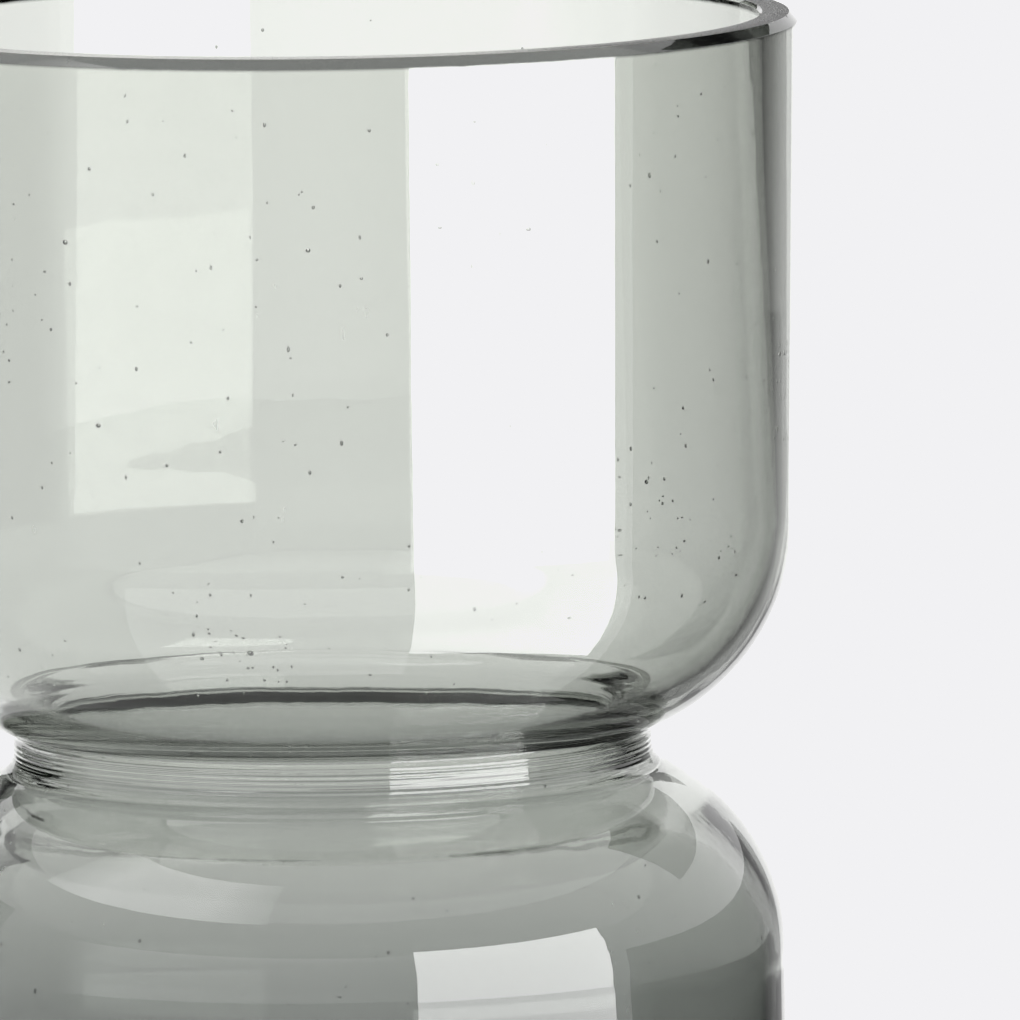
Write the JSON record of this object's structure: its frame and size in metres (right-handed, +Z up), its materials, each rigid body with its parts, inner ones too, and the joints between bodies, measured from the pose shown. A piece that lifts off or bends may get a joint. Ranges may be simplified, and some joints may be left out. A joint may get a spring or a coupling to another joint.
{
  "type": "glass vase",
  "caption": "Smoke-grey blown glass vase: an open bowl on a closed rounded body, drawn in to a tight open waist between them, standing on small clear base pads.",
  "frame": {"origin": "centre of the plane that the four pads rest on, on the vase's axis", "axes": "+Z up along the vase's axis to the open rim; +X and +Y midway between neighbouring pads, and alike on a round vase"},
  "size_m": [0.15, 0.15, 0.25],
  "materials": {
    "smoke_glass": "polished, clear smoke grey through the thickness, ground rim",
    "clear_pad": "satin, clear soft polyurethane"
  },
  "bodies": {
    "root": {"vessel": "smoke_glass", "base_pad_1": "clear_pad", "base_pad_2": "clear_pad", "base_pad_3": "clear_pad", "base_pad_4": "clear_pad"}
  },
  "joints": []
}
